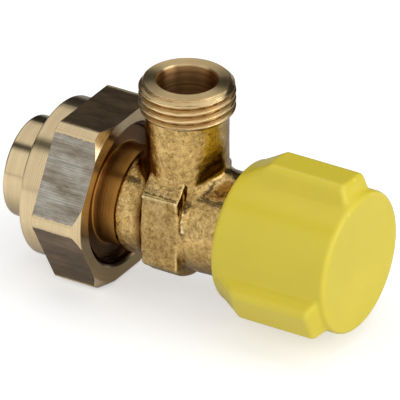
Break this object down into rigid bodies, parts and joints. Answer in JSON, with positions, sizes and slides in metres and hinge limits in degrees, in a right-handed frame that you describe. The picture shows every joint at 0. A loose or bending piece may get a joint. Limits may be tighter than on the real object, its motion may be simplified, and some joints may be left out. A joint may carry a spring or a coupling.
{
  "type": "angle valve",
  "caption": "Brass angle valve with a solder union inlet, a threaded outlet branch at right angles and a lobed yellow handwheel on its spindle.",
  "frame": {"origin": "centre of the inlet socket's mouth", "axes": "+X along the inlet, spindle and handwheel axis towards the handwheel, +Z along the outlet branch"},
  "size_m": [0.0828, 0.0428, 0.0518],
  "materials": {
    "body_brass": "forged skin, blasted, with machined thread and faces",
    "nut_brass": "turned, with drawn hexagon flats",
    "tail_brass": "turned",
    "turned_brass": "turned",
    "yellow_plastic": "satin moulded",
    "seal_rubber": "matt",
    "fibre": "pressed fibre sheet",
    "slip_plastic": "plain moulded",
    "spring_steel": "blanked",
    "screw_steel": "turned"
  },
  "bodies": {
    "tail": {"tail_piece": "tail_brass", "union_gasket": "fibre"},
    "nut": {"union_nut": "nut_brass"},
    "valve": {"valve_body": "body_brass", "headwork_bonnet": "turned_brass", "bonnet_seal_ring": "fibre", "thrust_washer": "slip_plastic"},
    "wheel": {"handwheel": "yellow_plastic", "spindle": "turned_brass", "stem_o_ring_inner": "seal_rubber", "stem_o_ring_outer": "seal_rubber", "clip_washer": "slip_plastic", "spindle_circlip": "spring_steel"},
    "closer": {"plunger": "turned_brass", "plunger_o_ring": "seal_rubber", "seat_washer": "seal_rubber", "washer_disc": "screw_steel", "washer_screw": "screw_steel"}
  },
  "joints": [
    {"name": "nut_turn", "type": "hinge", "parent": "tail", "child": "nut", "pos_m": [0, 0, 0], "axis": [-1, 0, 0], "range_deg": [0, 1080]},
    {"name": "union_travel", "type": "slide", "parent": "tail", "child": "valve", "axis": [1, 0, 0], "range_m": [0, 0.00693]},
    {"name": "wheel_turn", "type": "hinge", "parent": "valve", "child": "wheel", "pos_m": [0, 0, 0], "axis": [1, 0, 0], "range_deg": [0, 720]},
    {"name": "plunger_travel", "type": "slide", "parent": "valve", "child": "closer", "axis": [1, 0, 0], "range_m": [0, 0.004]}
  ],
  "couplings": [
    {"joint": "nut_turn", "follows": "union_travel", "rad_per_m": 2721.2},
    {"joint": "wheel_turn", "follows": "plunger_travel", "rad_per_m": 3141.6}
  ]
}
